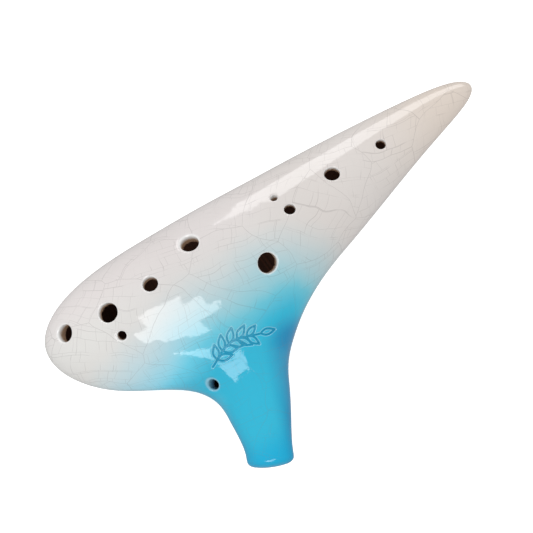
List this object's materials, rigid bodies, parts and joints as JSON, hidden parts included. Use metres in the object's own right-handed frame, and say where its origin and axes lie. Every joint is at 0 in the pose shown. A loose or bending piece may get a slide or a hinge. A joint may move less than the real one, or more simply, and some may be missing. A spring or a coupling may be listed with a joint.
{
  "type": "ocarina",
  "caption": "Transverse ceramic ocarina with a side mouthpiece, finger, thumb and strap holes, in cream glaze fading to blue.",
  "frame": {"origin": "middle of the bounding box's bottom face, with the ocarina lying on its back", "axes": "+X towards the tail tip, -Y towards the mouth end, +Z out of the front face with the finger holes"},
  "size_m": [0.1898, 0.1008, 0.0474],
  "materials": {
    "glaze": "gloss",
    "clay": "matt"
  },
  "bodies": {
    "root": {"front_shell": "glaze", "back_shell": "glaze", "slip_seam": "clay", "windway_block": "clay", "labium": "glaze"}
  },
  "joints": []
}
